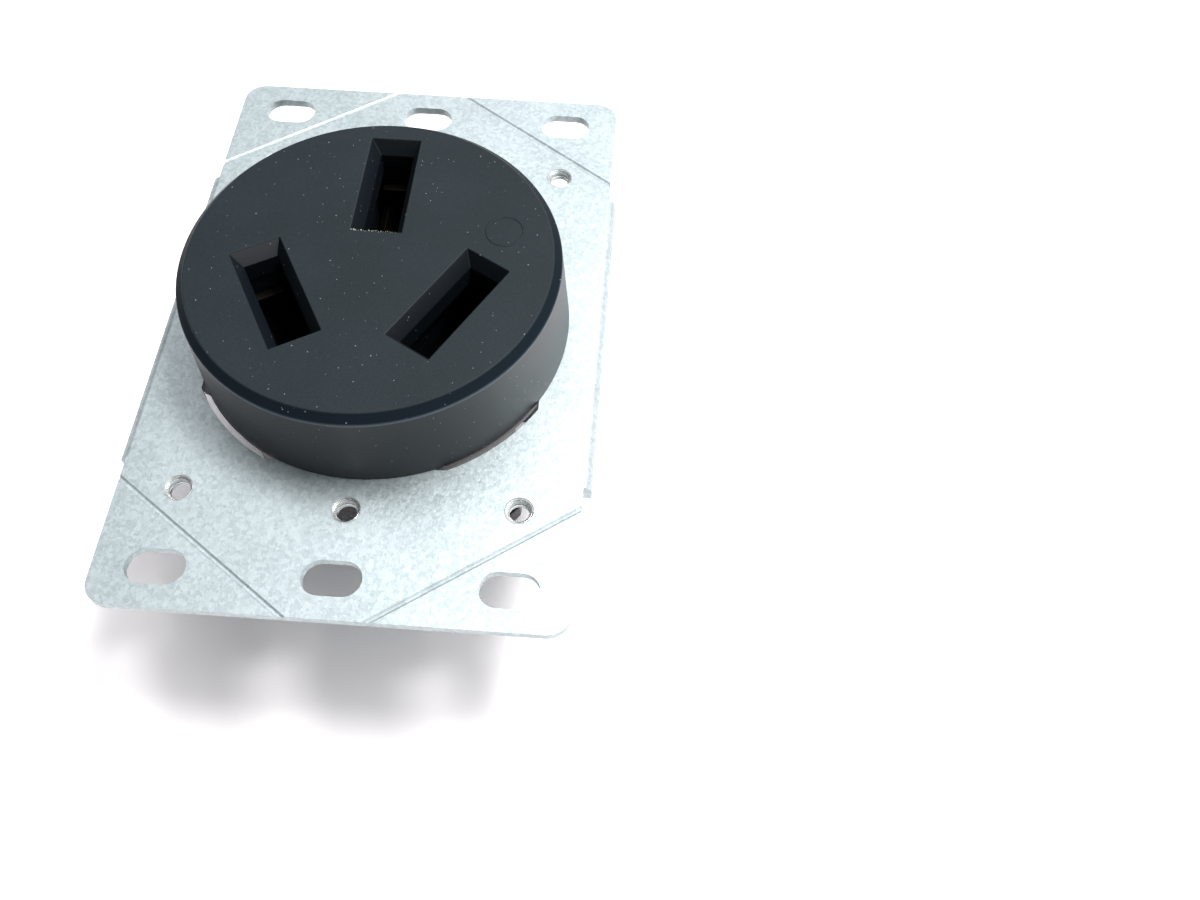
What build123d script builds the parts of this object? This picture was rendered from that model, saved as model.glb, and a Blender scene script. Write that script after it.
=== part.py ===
from build123d import *
import os
from math import atan2, cos, degrees, radians, sin, sqrt

os.makedirs("parts", exist_ok=True)

# Flush-mounting range receptacle with three blade slots, in millimetres.
# Z is the axis of the round face and points out of it. Z = 0 is the back of the
# mounting strap, the plane that lies against the wall box. Y runs along the strap,
# towards the upright neutral slot, and X points right as seen from the front.

# Mounting strap, pressed from galvanised sheet
strap_thickness = 1.27
strap_width = 62.7
slot_spacing_y = 83.34
slot_end_margin = 5.68
strap_length = slot_spacing_y + 2 * slot_end_margin
strap_corner_radius = 3.2
flange_length = 52.0
flange_reach = 1.1
flange_depth = 3.0
flange_bend_radius = 0.15
opening_radius = 27.8
opening_width = 48.0
opening_length = 49.6

# Box slots, plate screw holes and break-off lines of the strap
slot_spacing_x = 23.02
slot_length = 8.0
slot_width = 5.0
plate_hole_spacing_x = 46.04
plate_hole_spacing_y = 60.33
centre_hole_spacing_y = 63.5
tapped_hole_radius = 1.45
tapped_lead_radius = 2.0
tapped_lead_depth = 0.5
collar_radius = 2.2
collar_depth = 0.5
score_side_y = 29.2
score_end_x = 5.5
score_width = 0.8
score_floor_width = 0.2
score_depth = 0.17
score_overrun = 2.0

# Moulded face cover
cover_base_radius = 27.1
cover_rim_radius = 26.43
cover_face_radius = 25.2
cover_height = 13.9
cover_chamfer_height = 1.2
cover_face_thickness = 5.0
cover_wall = 3.1
spigot_clearance = 0.25
spigot_wall = 2.6
chamber_wall = 1.6
boss_radius = 3.4

# Blade slots, one for each angle round the face axis
slot_circle_radius = 13.6
neutral_angle = 90.0
line_angle_right = -30.0
mouth_length = 17.8
mouth_width = 7.3
well_length = 15.3
well_width = 4.8
funnel_depth = 2.2
chamber_corner_radius = 0.8

# Moulded body in three layers: contact carrier, rear housing and back plate
housing_radius = 26.4
housing_width = 40.8
corner_flat_reach = 24.3
corner_flat_angle = 40.0
housing_depth = 28.0
housing_edge_chamfer = 1.2
side_ear_reach = 27.0
side_ear_length = 20.0
end_ear_reach = 29.0
end_ear_width = 22.0
ear_chamfer = 2.4
entry_radius = 4.2
entry_boss_wall = 1.7
entry_boss_stand = 1.2
pocket_gap = 0.2
chamber_side_gap = 0.6

# Contacts, folded from copper alloy strip
leaf_thickness = 1.2
contact_length = 12.6
contact_floor_z = -8.0
contact_lip_z = 4.0
channel_half_width = 2.4
channel_top_z = -4.6
grip_half_gap = 0.85
grip_low_z = -1.6
grip_high_z = 1.6
lip_half_gap = 2.3
floor_bend_radius = 0.4
leaf_bend_radius = 1.2
stop_tab_top_z = 7.2
stop_tab_height = 5.4
stop_tab_gap = 0.8

# Back-up spring clips round the contact leaves
spring_thickness = 0.7
spring_height = 2.2
spring_arm_length = 11.4
spring_end_gap = 0.5
spring_side_gap = 0.02
spring_bend_radius = 0.5

# Terminal blocks that take the wires
lug_width = 12.0
lug_length = 13.0
lug_roof = 2.6
lug_base = 3.2
lug_edge_radius = 0.6
wire_opening_radius = 3.9
wire_opening_height = 8.8
line_lug_x = 11.5
line_lug_y = -9.0

# Rivets that stake each contact on its terminal block
rivet_radius = 1.3
rivet_head_radius = 1.9
rivet_head_height = 0.9
rivet_head_chamfer = 0.5
rivet_depth = 2.0
rivet_gap = 0.04

# Clamp screws and the pressure plates on their noses
clamp_screw_radius = 3.1
clamp_screw_gap = 0.05
clamp_screw_recess = 0.8
clamp_slot_width = 1.3
clamp_slot_depth = 1.5
clamp_screw_chamfer = 0.4
clamp_access_gap = 0.7
plate_width = 6.4
plate_length = 10.0
plate_thickness = 1.2
nose_radius = 1.2
nose_gap = 0.05

# Assembly screws, driven from the rear into bosses of the cover
upper_screw_x = 14.5
upper_screw_y = 12.5
lower_screw_y = -18.5
assembly_screw_radius = 1.7
assembly_screw_reach = 7.0
assembly_pilot_gap = 0.05
assembly_clearance = 0.3
assembly_head_radius = 3.1
assembly_head_height = 1.9
assembly_head_chamfer = 0.5
assembly_head_gap = 0.4
assembly_head_recess = 0.6
assembly_slot_width = 1.1
assembly_slot_depth = 1.0

# Levels and places worked out from the sizes above
cover_top_z = strap_thickness + cover_height
cover_rim_z = cover_top_z - cover_chamfer_height
cover_ceiling_z = cover_top_z - cover_face_thickness
cavity_radius = cover_base_radius - cover_wall
cavity_width = opening_width - 2 * (spigot_clearance + spigot_wall)
cavity_length = opening_length - 2 * (spigot_clearance + spigot_wall)
chamber_half_length = well_length / 2 + pocket_gap
contact_outer_half_width = channel_half_width + leaf_thickness
chamber_half_width = contact_outer_half_width + chamber_side_gap
lug_top_z = contact_floor_z - leaf_thickness
wire_arch_z = lug_top_z - lug_roof - wire_opening_radius
wire_floor_z = lug_top_z - lug_roof - wire_opening_height
lug_bottom_z = wire_floor_z - lug_base
clamp_access_radius = clamp_screw_radius + clamp_access_gap
clamp_screw_end_z = clamp_screw_recess - housing_depth
assembly_seat_z = assembly_head_recess + assembly_head_height - housing_depth
entry_boss_radius = entry_radius + entry_boss_wall

# Each terminal: angle of its slot round the face, turn of its contact about Z,
# centre of its terminal block, and the way its wire comes in along Y
slot_angles = {
    "neutral": neutral_angle,
    "line_right": line_angle_right,
    "line_left": 180.0 - line_angle_right,
}
contact_turns = {
    "neutral": 0.0,
    "line_right": line_angle_right,
    "line_left": -line_angle_right,
}
lug_centres = {
    "neutral": (0.0, slot_circle_radius),
    "line_right": (line_lug_x, line_lug_y),
    "line_left": (-line_lug_x, line_lug_y),
}
wire_ways = {"neutral": 1, "line_right": -1, "line_left": -1}
node_names = {
    "neutral": "neutral_{}",
    "line_right": "line_{}_right",
    "line_left": "line_{}_left",
}
assembly_screw_centres = {
    "assembly_screw_right": (upper_screw_x, upper_screw_y),
    "assembly_screw_left": (-upper_screw_x, upper_screw_y),
    "assembly_screw_lower": (0.0, lower_screw_y),
}


def slot_centre(terminal):
    """Centre of a terminal's blade slot in the plane of the face."""
    angle = radians(slot_angles[terminal])
    return slot_circle_radius * cos(angle), slot_circle_radius * sin(angle)


def at_slot(terminal, z=0.0):
    """Place something with its length along Y in line with a blade slot."""
    x, y = slot_centre(terminal)
    return Pos(x, y, z) * Rot(0, 0, contact_turns[terminal])


def four_corners(spacing_x, spacing_y):
    """Centres of a rectangle of holes about the face axis."""
    return [(sx * spacing_x / 2, sy * spacing_y / 2) for sx in (-1, 1) for sy in (-1, 1)]


def bored(radius, x, y, low, high):
    """Round cutter or pin along Z between two levels."""
    return Pos(x, y, low) * Cylinder(radius, high - low, align=(Align.CENTER, Align.CENTER, Align.MIN))


def opening_outline(inset=0.0):
    """Strap opening: a circle cut by two pairs of flats."""
    flats = Rectangle(opening_width - 2 * inset, opening_length - 2 * inset)
    return Circle(opening_radius - inset) & flats


def folded_strip(points, thickness, bend_radii):
    """Face of a strip folded along a path, with its thickness on the path's right.

    Each bend radius is the inner radius of the fold at that corner of the path.
    """
    corners = [Vector(point) for point in points]
    ways = [(end - start).normalized() for start, end in zip(corners, corners[1:])]
    rights = [Vector(way.Y, -way.X) for way in ways]
    far_side = [corners[0] + rights[0] * thickness]
    near_radii, far_radii = [], []
    for corner, before, after, radius in zip(corners[1:], rights, rights[1:], bend_radii):
        far_side.append(corner + (before + after) * (thickness / (1 + before.dot(after))))
        turns_left = before.X * after.Y - before.Y * after.X > 0
        near_radii.append(radius if turns_left else radius + thickness)
        far_radii.append(radius + thickness if turns_left else radius)
    far_side.append(corners[-1] + rights[-1] * thickness)
    near = FilletPolyline(*corners, radius=near_radii)
    far = FilletPolyline(*far_side, radius=far_radii)
    ends = [Line(corners[0], far_side[0]), Line(corners[-1], far_side[-1])]
    return make_face([near, far] + ends)


def flanged_length():
    """Middle length of the strap: a shallow channel, both long edges bent back."""
    side_x = strap_width / 2 + flange_reach
    tip_z = strap_thickness - flange_depth
    path = [(-side_x, tip_z), (-side_x, strap_thickness), (side_x, strap_thickness), (side_x, tip_z)]
    section = Plane.XZ * folded_strip(path, strap_thickness, [flange_bend_radius] * 2)
    return extrude(section, amount=flange_length / 2, both=True)


def score_groove(x_sign, y_sign):
    """Flat-bottomed groove across one corner, along which the strap's ear can be snapped off."""
    side_x, end_y = strap_width / 2, strap_length / 2
    run_x, run_y = side_x - score_end_x, end_y - score_side_y
    length = sqrt(run_x**2 + run_y**2) + 2 * score_overrun
    angle = degrees(atan2(y_sign * run_y, -x_sign * run_x))
    half, floor_half = score_width / 2, score_floor_width / 2
    outline = [(-half, 0), (-floor_half, -score_depth), (floor_half, -score_depth), (half, 0)]
    section = Plane.YZ * Polygon(*outline, (0, score_depth), align=None)
    bar = extrude(section, amount=length / 2, both=True)
    middle = Pos(x_sign * (side_x + score_end_x) / 2, y_sign * (score_side_y + end_y) / 2, strap_thickness)
    return middle * Rot(0, 0, angle) * bar


def make_mounting_strap():
    """Strap with its flanges, opening, box slots, tapped collars and score lines."""
    plate = extrude(RectangleRounded(strap_width, strap_length, strap_corner_radius), strap_thickness)
    plate -= extrude(Rectangle(strap_width, flange_length), strap_thickness)
    strap = plate + flanged_length()
    tapped = four_corners(plate_hole_spacing_x, plate_hole_spacing_y)
    tapped += [(0, sy * centre_hole_spacing_y / 2) for sy in (-1, 1)]
    for x, y in tapped:
        strap += bored(collar_radius, x, y, -collar_depth, strap_thickness)
    strap -= extrude(opening_outline(), strap_thickness)
    box_slot = extrude(SlotOverall(slot_length, slot_width), strap_thickness)
    for column in (-1, 0, 1):
        for row in (-1, 1):
            strap -= Pos(column * slot_spacing_x, row * slot_spacing_y / 2) * box_slot
    for x, y in tapped:
        strap -= bored(tapped_hole_radius, x, y, -collar_depth, strap_thickness)
        lead = Cone(tapped_hole_radius, tapped_lead_radius, tapped_lead_depth)
        strap -= Pos(x, y, strap_thickness - tapped_lead_depth / 2) * lead
    for x_sign in (-1, 1):
        for y_sign in (-1, 1):
            strap -= score_groove(x_sign, y_sign)
    return strap


def cover_shell():
    """Outside of the cover: a drafted wall, a chamfer and the flat face."""
    profile = Polyline(
        (0, strap_thickness),
        (cover_base_radius, strap_thickness),
        (cover_rim_radius, cover_rim_z),
        (cover_face_radius, cover_top_z),
        (0, cover_top_z),
        close=True,
    )
    return revolve(Plane.XZ * make_face(profile), Axis.Z)


def chamber(grow, low, high):
    """Rectangular prism round a contact, its length along Y."""
    outline = RectangleRounded(
        2 * (chamber_half_width + grow),
        2 * (chamber_half_length + grow),
        chamber_corner_radius + grow,
    )
    return Pos(0, 0, low) * extrude(outline, high - low)


def blade_slot():
    """Slot cutter: a straight well under a mouth with four mitred slopes."""
    funnel_z = cover_top_z - funnel_depth
    well = Pos(0, 0, cover_ceiling_z) * extrude(
        Rectangle(well_width, well_length), funnel_z - cover_ceiling_z
    )
    mouth = loft([
        Pos(0, 0, funnel_z) * Rectangle(well_width, well_length),
        Pos(0, 0, cover_top_z) * Rectangle(mouth_width, mouth_length),
    ])
    return well + mouth


def make_face_cover():
    """Round cover with its spigot, contact chambers, screw bosses and blade slots."""
    spigot = extrude(opening_outline(spigot_clearance), strap_thickness)
    spigot &= bored(cover_base_radius - spigot_clearance, 0, 0, 0, strap_thickness)
    cavity = extrude(Circle(cavity_radius) & Rectangle(cavity_width, cavity_length), cover_ceiling_z)
    inside = Part()
    for terminal in slot_angles:
        inside += at_slot(terminal) * chamber(chamber_wall, 0, cover_ceiling_z)
    for x, y in assembly_screw_centres.values():
        inside += bored(boss_radius, x, y, 0, cover_ceiling_z)
    cover = cover_shell() + spigot - cavity + (inside & cavity)
    for terminal in slot_angles:
        cover -= at_slot(terminal) * chamber(0, 0, cover_ceiling_z)
        cover -= at_slot(terminal) * blade_slot()
    pilot = assembly_screw_radius + assembly_pilot_gap
    for x, y in assembly_screw_centres.values():
        cover -= bored(pilot, x, y, 0, assembly_screw_reach + assembly_clearance)
    return cover


def wall_reach(x):
    """Distance from the X axis to the round wall of the housing at a given x."""
    return sqrt(housing_radius**2 - x**2)


def wire_entry(terminal, radius, start, end):
    """Round bar along the wire of a terminal, between two distances from the X axis."""
    x = lug_centres[terminal][0]
    bar = Cylinder(radius, end - start)
    middle = wire_ways[terminal] * (start + end) / 2
    return Pos(x, middle, wire_arch_z) * Rot(90, 0, 0) * bar


def body_outline():
    """Plan of the back plate: a circle cut by two flats."""
    return Circle(housing_radius) & Rectangle(housing_width, 2 * housing_radius)


def cornered_outline():
    """Plan of the two front layers: the same with a flat across each corner."""
    flats = Rectangle(2 * corner_flat_reach, 2 * housing_radius)
    turned = [Rot(0, 0, angle) * flats for angle in (corner_flat_angle, -corner_flat_angle)]
    return body_outline() & turned[0] & turned[1]


def strap_ears(length_x, length_y, tip_edges):
    """Bar across the carrier whose two ends, chamfered below, seat the strap."""
    bar = Pos(0, 0, lug_top_z) * extrude(Rectangle(length_x, length_y), -lug_top_z)
    return chamfer(bar.faces().sort_by(Axis.Z)[0].edges().filter_by(tip_edges), ear_chamfer)


def assembly_passages():
    """Cutters from the rear face to the strap's back, one for each assembly screw and its head."""
    shank = assembly_screw_radius + assembly_clearance
    head = assembly_head_radius + assembly_head_gap
    return [
        bored(shank, x, y, assembly_seat_z, 0) + bored(head, x, y, -housing_depth, assembly_seat_z)
        for x, y in assembly_screw_centres.values()
    ]


def make_contact_carrier():
    """Front layer: the strap's seats round three through chambers."""
    body = Pos(0, 0, lug_top_z) * extrude(cornered_outline(), -lug_top_z)
    body += strap_ears(2 * side_ear_reach, side_ear_length, Axis.Y)
    body += strap_ears(end_ear_width, 2 * end_ear_reach, Axis.X)
    for terminal in slot_angles:
        body -= at_slot(terminal) * chamber(0, lug_top_z, 0)
    for passage in assembly_passages():
        body -= passage
    return body


def make_rear_housing():
    """Middle layer: through pockets for the terminal blocks, and their wire entries."""
    body = Pos(0, 0, lug_bottom_z) * extrude(cornered_outline(), lug_top_z - lug_bottom_z)
    for terminal, (x, y) in lug_centres.items():
        boss_end = wall_reach(x) + entry_boss_stand
        body += wire_entry(terminal, entry_boss_radius, abs(y), boss_end)
        body -= wire_entry(terminal, entry_radius, abs(y), boss_end)
    for x, y in lug_centres.values():
        lug_pocket = RectangleRounded(
            lug_width + 2 * pocket_gap, lug_length + 2 * pocket_gap, lug_edge_radius
        )
        body -= Pos(x, y, lug_bottom_z) * extrude(lug_pocket, lug_top_z - lug_bottom_z)
    for passage in assembly_passages():
        body -= passage
    return body


def make_back_plate():
    """Rear layer: closes the pockets and lets the clamp and assembly screws be driven."""
    plate = Pos(0, 0, -housing_depth) * extrude(body_outline(), lug_bottom_z + housing_depth)
    plate = chamfer(plate.faces().sort_by(Axis.Z)[0].edges(), housing_edge_chamfer)
    for x, y in lug_centres.values():
        plate -= bored(clamp_access_radius, x, y, -housing_depth, lug_bottom_z)
    for passage in assembly_passages():
        plate -= passage
    return plate


def make_contact():
    """Double-wipe contact: two folded leaves on one floor, with a stop tab at one end."""
    leaf = [
        (channel_half_width, contact_floor_z),
        (channel_half_width, channel_top_z),
        (grip_half_gap, grip_low_z),
        (grip_half_gap, grip_high_z),
        (lip_half_gap, contact_lip_z),
    ]
    bends = [floor_bend_radius] + [leaf_bend_radius] * 3
    path = [(-x, z) for x, z in reversed(leaf)] + leaf
    section = Plane.XZ * folded_strip(path, leaf_thickness, bends[::-1] + bends)
    folded = extrude(section, amount=contact_length / 2, both=True)
    tab_from = -lip_half_gap - leaf_thickness / 2
    tab_to = lip_half_gap - stop_tab_gap
    tab = Box(
        tab_to - tab_from,
        leaf_thickness,
        stop_tab_height,
        align=(Align.MIN, Align.MIN, Align.MAX),
    )
    folded += Pos(tab_from, contact_length / 2, stop_tab_top_z) * tab
    hole = rivet_radius + rivet_gap
    return folded - bored(hole, 0, 0, lug_top_z, contact_floor_z)


def make_spring_clip():
    """Steel clip in a U round the grips of both leaves, open towards the stop tab."""
    half = grip_half_gap + leaf_thickness + spring_side_gap
    back = -contact_length / 2 - spring_end_gap
    path = [
        (-half, back + spring_arm_length),
        (-half, back),
        (half, back),
        (half, back + spring_arm_length),
    ]
    strip = folded_strip(path, spring_thickness, [spring_bend_radius] * 2)
    middle = (grip_low_z + grip_high_z) / 2
    return Pos(0, 0, middle) * extrude(strip, amount=spring_height / 2, both=True)


def make_lug(terminal):
    """Terminal block: arched wire opening, tapped base and the rivet's hole."""
    x, y = lug_centres[terminal]
    height = lug_top_z - lug_bottom_z
    block = Box(lug_width, lug_length, height, align=(Align.CENTER, Align.CENTER, Align.MIN))
    block = fillet(block.edges().filter_by(Axis.Z), lug_edge_radius)
    block = Pos(x, y, lug_bottom_z) * block
    arch = Pos(x, y, wire_arch_z) * Rot(90, 0, 0) * Cylinder(wire_opening_radius, lug_length)
    slab = Box(
        2 * wire_opening_radius,
        lug_length,
        wire_arch_z - wire_floor_z,
        align=(Align.CENTER, Align.CENTER, Align.MIN),
    )
    block -= arch + Pos(x, y, wire_floor_z) * slab
    block -= bored(clamp_screw_radius + clamp_screw_gap, x, y, lug_bottom_z, wire_floor_z)
    rivet_x, rivet_y = slot_centre(terminal)
    hole = rivet_radius + rivet_gap
    return block - bored(hole, rivet_x, rivet_y, lug_top_z - rivet_depth, lug_top_z)


def make_rivet(terminal):
    """Rivet with a bevelled head on the contact's floor."""
    x, y = slot_centre(terminal)
    shank = bored(rivet_radius, x, y, lug_top_z - rivet_depth, contact_floor_z)
    head = bored(rivet_head_radius, x, y, contact_floor_z, contact_floor_z + rivet_head_height)
    rim = head.edges().filter_by(GeomType.CIRCLE).sort_by(Axis.Z)[-1]
    return shank + chamfer(rim, rivet_head_chamfer)


def make_pressure_plate(terminal):
    """Flat plate on the nose of the clamp screw, across the wire opening."""
    x, y = lug_centres[terminal]
    plate = extrude(RectangleRounded(plate_width, plate_length, lug_edge_radius), plate_thickness)
    plate = Pos(x, y, wire_floor_z) * plate
    return plate - bored(nose_radius + nose_gap, x, y, wire_floor_z, wire_floor_z + plate_thickness)


def make_clamp_screw(terminal):
    """Headless slotted screw that rises from the rear through the terminal block's base."""
    x, y = lug_centres[terminal]
    screw = bored(clamp_screw_radius, x, y, clamp_screw_end_z, wire_floor_z)
    screw = chamfer(screw.edges().filter_by(GeomType.CIRCLE), clamp_screw_chamfer)
    screw += bored(nose_radius, x, y, wire_floor_z, wire_floor_z + plate_thickness)
    slot = Box(
        2 * clamp_screw_radius,
        clamp_slot_width,
        clamp_slot_depth,
        align=(Align.CENTER, Align.CENTER, Align.MIN),
    )
    return screw - Pos(x, y, clamp_screw_end_z) * slot


def make_assembly_screw(x, y):
    """Slotted round-head screw from the rear recess into a boss of the cover."""
    low = assembly_seat_z - assembly_head_height
    shank = bored(assembly_screw_radius, x, y, assembly_seat_z, assembly_screw_reach)
    head = bored(assembly_head_radius, x, y, low, assembly_seat_z)
    rim = head.edges().filter_by(GeomType.CIRCLE).sort_by(Axis.Z)[0]
    head = chamfer(rim, assembly_head_chamfer)
    slot = Box(
        2 * assembly_head_radius,
        assembly_slot_width,
        assembly_slot_depth,
        align=(Align.CENTER, Align.CENTER, Align.MIN),
    )
    return shank + head - Pos(x, y, low) * slot


nodes = {
    "face_cover": make_face_cover(),
    "mounting_strap": make_mounting_strap(),
    "contact_carrier": make_contact_carrier(),
    "rear_housing": make_rear_housing(),
    "back_plate": make_back_plate(),
}
for terminal, pattern in node_names.items():
    nodes[pattern.format("contact")] = at_slot(terminal) * make_contact()
    nodes[pattern.format("spring_clip")] = at_slot(terminal) * make_spring_clip()
    nodes[pattern.format("lug")] = make_lug(terminal)
    nodes[pattern.format("rivet")] = make_rivet(terminal)
    nodes[pattern.format("pressure_plate")] = make_pressure_plate(terminal)
    nodes[pattern.format("clamp_screw")] = make_clamp_screw(terminal)
for name, (x, y) in assembly_screw_centres.items():
    nodes[name] = make_assembly_screw(x, y)

for name, node in nodes.items():
    export_step(node, f"parts/{name}.step")
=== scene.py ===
"""Looks of a flush-mounting range receptacle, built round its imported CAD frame.

Lengths are written in millimetres, as in the CAD source, and MM turns them into
Blender's metres. Z points out of the round face, Z = 0 is the back of the strap
and Y runs along the strap towards the upright neutral slot.
"""

import logging
from dataclasses import dataclass, field
from enum import Enum
from math import radians
from typing import Any, Iterable, Optional, Union

import bmesh
import bpy
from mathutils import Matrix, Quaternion, Vector


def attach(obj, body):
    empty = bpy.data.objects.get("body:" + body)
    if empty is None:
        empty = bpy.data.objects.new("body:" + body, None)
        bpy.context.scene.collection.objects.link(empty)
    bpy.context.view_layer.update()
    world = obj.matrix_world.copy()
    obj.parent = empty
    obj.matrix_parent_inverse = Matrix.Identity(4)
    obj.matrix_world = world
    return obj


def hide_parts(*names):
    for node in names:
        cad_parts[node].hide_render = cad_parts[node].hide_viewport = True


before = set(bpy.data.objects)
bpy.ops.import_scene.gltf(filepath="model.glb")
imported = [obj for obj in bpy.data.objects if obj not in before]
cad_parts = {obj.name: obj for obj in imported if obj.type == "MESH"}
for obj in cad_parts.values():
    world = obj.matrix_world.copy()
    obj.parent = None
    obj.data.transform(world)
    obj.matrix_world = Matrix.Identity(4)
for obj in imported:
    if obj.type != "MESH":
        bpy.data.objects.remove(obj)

MM = 0.001
BODY = "root"
SMOOTH_BELOW = radians(28.0)
FLAT_WITHIN = radians(0.5)
WELD = 0.001
NOISE_SPAN = (0.3, 0.7)
THERMOSET_IOR = 1.5

log = logging.getLogger("range_receptacle")

Colour = tuple[float, float, float, float]
Socket = bpy.types.NodeSocket
Value = Union[float, bpy.types.NodeSocket]


# Helpers


def linear(code: str) -> Colour:
    """Turn an sRGB hex colour into linear light.

    Args:
        code: Six hex digits after a hash sign.

    Returns:
        Red, green, blue and an alpha of one.
    """
    parts = [int(code[i : i + 2], 16) / 255 for i in (1, 3, 5)]
    light = [c / 12.92 if c <= 0.04045 else ((c + 0.055) / 1.055) ** 2.4 for c in parts]
    return light[0], light[1], light[2], 1.0


def add_node(
    tree: bpy.types.NodeTree,
    kind: str,
    settings: Optional[dict[str, Any]] = None,
    inputs: Optional[dict[Any, Any]] = None,
) -> bpy.types.Node:
    """Add a node with its settings, its values and its links.

    Args:
        tree: Node tree that the node joins.
        kind: Blender's identifier for the type of node.
        settings: Attributes of the node, by name.
        inputs: Values or output sockets, by the input's name or number.

    Returns:
        The new node.
    """
    node = tree.nodes.new(kind)
    for name, value in (settings or {}).items():
        setattr(node, name, value)
    for key, value in (inputs or {}).items():
        if isinstance(value, bpy.types.NodeSocket):
            tree.links.new(value, node.inputs[key])
        else:
            node.inputs[key].default_value = value
    return node


def material_tree(name: str) -> tuple[bpy.types.Material, bpy.types.NodeTree]:
    """Start a material with an empty node tree.

    Args:
        name: The finish, in a maker's words.

    Returns:
        The material and its tree.
    """
    material = bpy.data.materials.new(name)
    material.use_nodes = True
    material.node_tree.nodes.clear()
    return material, material.node_tree


def object_place(tree: bpy.types.NodeTree) -> Socket:
    """Place on the object, in metres."""
    return add_node(tree, "ShaderNodeTexCoord").outputs["Object"]


def maths(tree: bpy.types.NodeTree, operation: str, *values: Value) -> Socket:
    """Work out a number from others.

    Args:
        tree: Node tree to work in.
        operation: Blender's identifier for the operation.
        values: Numbers or output sockets, in the node's order.

    Returns:
        Socket with the result.
    """
    node = add_node(tree, "ShaderNodeMath", {"operation": operation}, dict(enumerate(values)))
    return node.outputs[0]


def ramp(
    tree: bpy.types.NodeTree,
    value: Socket,
    span: tuple[float, float] = (0.0, 1.0),
    ends: tuple[Value, Value] = (0.0, 1.0),
    smooth: bool = False,
) -> Socket:
    """Go from one number to another while a value crosses a span, and hold at both ends.

    Args:
        tree: Node tree to work in.
        value: Socket with the value.
        span: Where the value starts and stops to count.
        ends: Results at the two ends of the span.
        smooth: Whether the way between them eases in and out.

    Returns:
        Socket with the result.
    """
    limits = {"From Min": span[0], "From Max": span[1], "To Min": ends[0], "To Max": ends[1]}
    way = {"interpolation_type": "SMOOTHSTEP" if smooth else "LINEAR"}
    return add_node(tree, "ShaderNodeMapRange", way, {"Value": value, **limits}).outputs[0]


def past(tree: bpy.types.NodeTree, value: Socket, low: float, high: float) -> Socket:
    """Share of the way from one length to another, both in millimetres."""
    return ramp(tree, value, (low * MM, high * MM))


def mixed(tree: bpy.types.NodeTree, share: Socket, none: Any, full: Any) -> Socket:
    """Mix two colours, each a value or a socket, by a share.

    Args:
        tree: Node tree to work in.
        share: Socket with the share of the second colour.
        none: Colour where the share is none.
        full: Colour where it is one.

    Returns:
        Socket with the mixed colour.
    """
    inputs = {0: share, 6: none, 7: full}
    return add_node(tree, "ShaderNodeMix", {"data_type": "RGBA"}, inputs).outputs[2]


def scaled(tree: bpy.types.NodeTree, code: str, factor: Socket) -> Socket:
    """Colour from an sRGB hex code, made brighter or darker by a factor."""
    inputs = {0: linear(code)[:3], "Scale": factor}
    return add_node(tree, "ShaderNodeVectorMath", {"operation": "SCALE"}, inputs).outputs[0]


def noise(
    tree: bpy.types.NodeTree, place: Socket, per_mm: float, detail: float, roughness: float = 0.5
) -> bpy.types.Node:
    """Cloudy noise over the object.

    Args:
        tree: Node tree to work in.
        place: Socket with the place on the object.
        per_mm: How many clouds stand along a millimetre.
        detail: Finer layers laid over them.
        roughness: Strength of each finer layer against the one before.

    Returns:
        The noise node, with outputs Fac and Color.
    """
    inputs = {"Vector": place, "Scale": per_mm / MM, "Detail": detail, "Roughness": roughness}
    return add_node(tree, "ShaderNodeTexNoise", None, inputs)


def channels(tree: bpy.types.NodeTree, cells: bpy.types.Node) -> Any:
    """Red, green and blue of a cell pattern's random colours, as three sockets."""
    return add_node(tree, "ShaderNodeSeparateColor", None, {0: cells.outputs["Color"]}).outputs


def relief(tree: bpy.types.NodeTree, height: Socket, strength: float, depth: float) -> Socket:
    """Fine relief, too small for geometry.

    Args:
        tree: Node tree to work in.
        height: Socket with the height, from none to one.
        strength: Share of the relief that shows.
        depth: Height of the full relief, in millimetres.

    Returns:
        Socket with the surface's normal.
    """
    inputs = {"Height": height, "Strength": strength, "Distance": depth * MM}
    return add_node(tree, "ShaderNodeBump", None, inputs).outputs[0]


def end_material(tree: bpy.types.NodeTree, inputs: dict[str, Any]) -> None:
    """End a material's tree with one shader.

    Args:
        tree: The material's tree.
        inputs: Values or sockets of the shader, by the input's name.
    """
    shader = add_node(tree, "ShaderNodeBsdfPrincipled", None, inputs)
    add_node(tree, "ShaderNodeOutputMaterial", None, {0: shader.outputs[0]})


def box_of(node: str) -> tuple[Vector, Vector]:
    """Box round a CAD node.

    Args:
        node: Name of the CAD node.

    Returns:
        Its least and its greatest corner, in millimetres.
    """
    places = [vertex.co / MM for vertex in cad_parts[node].data.vertices]
    return (
        Vector([min(place[axis] for place in places) for axis in range(3)]),
        Vector([max(place[axis] for place in places) for axis in range(3)]),
    )


def finished_mesh(piece: bpy.types.Object, name: str) -> bpy.types.Mesh:
    """Turn a piece with live modifiers into a plain mesh.

    Args:
        piece: Object whose modifiers are evaluated.
        name: Name of the new mesh.

    Returns:
        A mesh that holds the result.
    """
    bpy.context.view_layer.update()
    graph = bpy.context.evaluated_depsgraph_get()
    mesh = bpy.data.meshes.new_from_object(piece.evaluated_get(graph))
    mesh.name = name
    return mesh


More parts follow.
